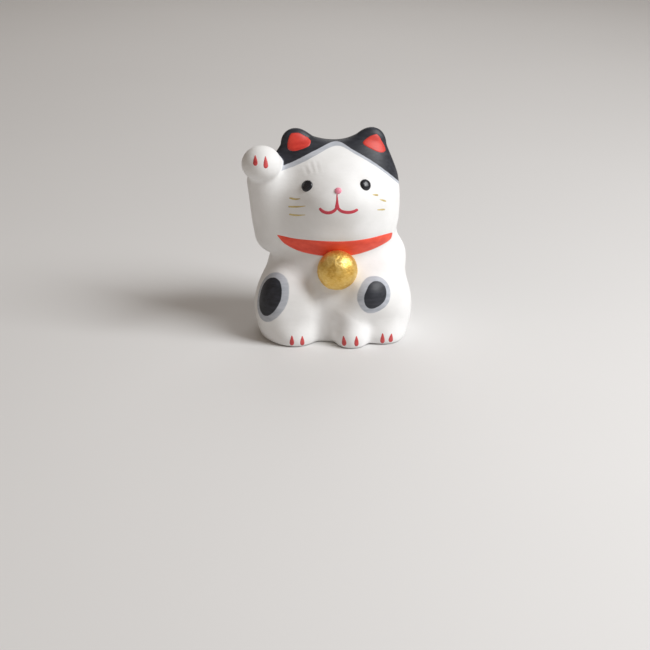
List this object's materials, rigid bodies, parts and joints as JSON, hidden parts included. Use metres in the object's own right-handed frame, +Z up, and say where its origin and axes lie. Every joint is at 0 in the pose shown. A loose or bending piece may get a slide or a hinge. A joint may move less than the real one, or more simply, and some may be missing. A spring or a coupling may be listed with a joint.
{
  "type": "ceramic cat figurine",
  "caption": "Seated ceramic cat with a paw raised beside its head, black cap and haunch spots, red collar band and gilded bell; a hollow body with a vent hole in its flat base.",
  "frame": {"origin": "middle of the bottom of the figure's own box, on the surface it stands on", "axes": "+Z up, -Y the way the cat faces, +X the cat's left"},
  "size_m": [0.0494, 0.0438, 0.0592],
  "materials": {
    "white_slip": "matte hand-brushed white slip",
    "black_slip": "satin black paint",
    "grey_slip": "matte grey paint round the black",
    "black_gloss": "glossy raised drop",
    "pink_slip": "satin pink drop",
    "red_slip": "satin red paint",
    "gold_leaf": "mottled gilding over clay"
  },
  "bodies": {
    "root": {"torso": "white_slip", "head": "white_slip", "raised_arm": "white_slip", "raised_paw": "white_slip", "foreleg": "white_slip", "front_paw": "white_slip", "left_haunch": "white_slip", "right_haunch": "white_slip", "left_hind_foot": "white_slip", "right_hind_foot": "white_slip", "tail": "white_slip", "left_ear": "black_slip", "right_ear": "black_slip", "left_eye": "black_gloss", "right_eye": "black_gloss", "nose": "pink_slip", "collar": "red_slip", "bell": "gold_leaf"}
  },
  "joints": []
}
